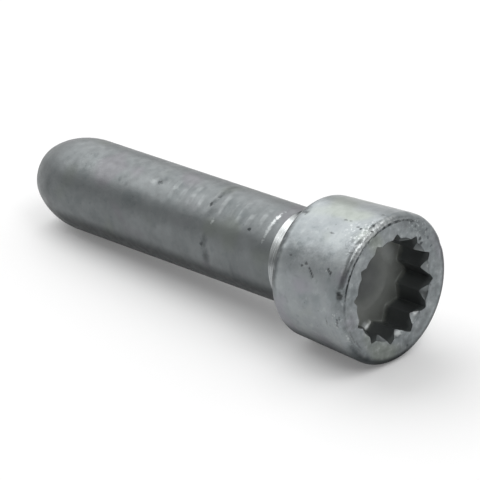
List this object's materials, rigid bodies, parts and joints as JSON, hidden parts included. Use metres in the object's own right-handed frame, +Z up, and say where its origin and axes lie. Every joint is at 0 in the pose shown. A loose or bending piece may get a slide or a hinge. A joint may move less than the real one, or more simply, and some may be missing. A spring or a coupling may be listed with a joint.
{
  "type": "wheel hub bolt",
  "caption": "Steel wheel hub bolt with a cylindrical head, multi-point internal socket, plain neck, threaded shank and rounded lead-in point, lying on its side.",
  "frame": {"origin": "on the floor under the middle of the bolt's box, as it lies on its side", "axes": "+X along the bolt from its point to its head, in plan; +Z up; the bolt's own axis is tilted 3.79 degrees, head end up"},
  "size_m": [0.0698, 0.0216, 0.0218],
  "materials": {
    "coated_steel": "matt silver-grey zinc flake coating"
  },
  "bodies": {
    "root": {"hub_bolt": "coated_steel"}
  },
  "joints": []
}
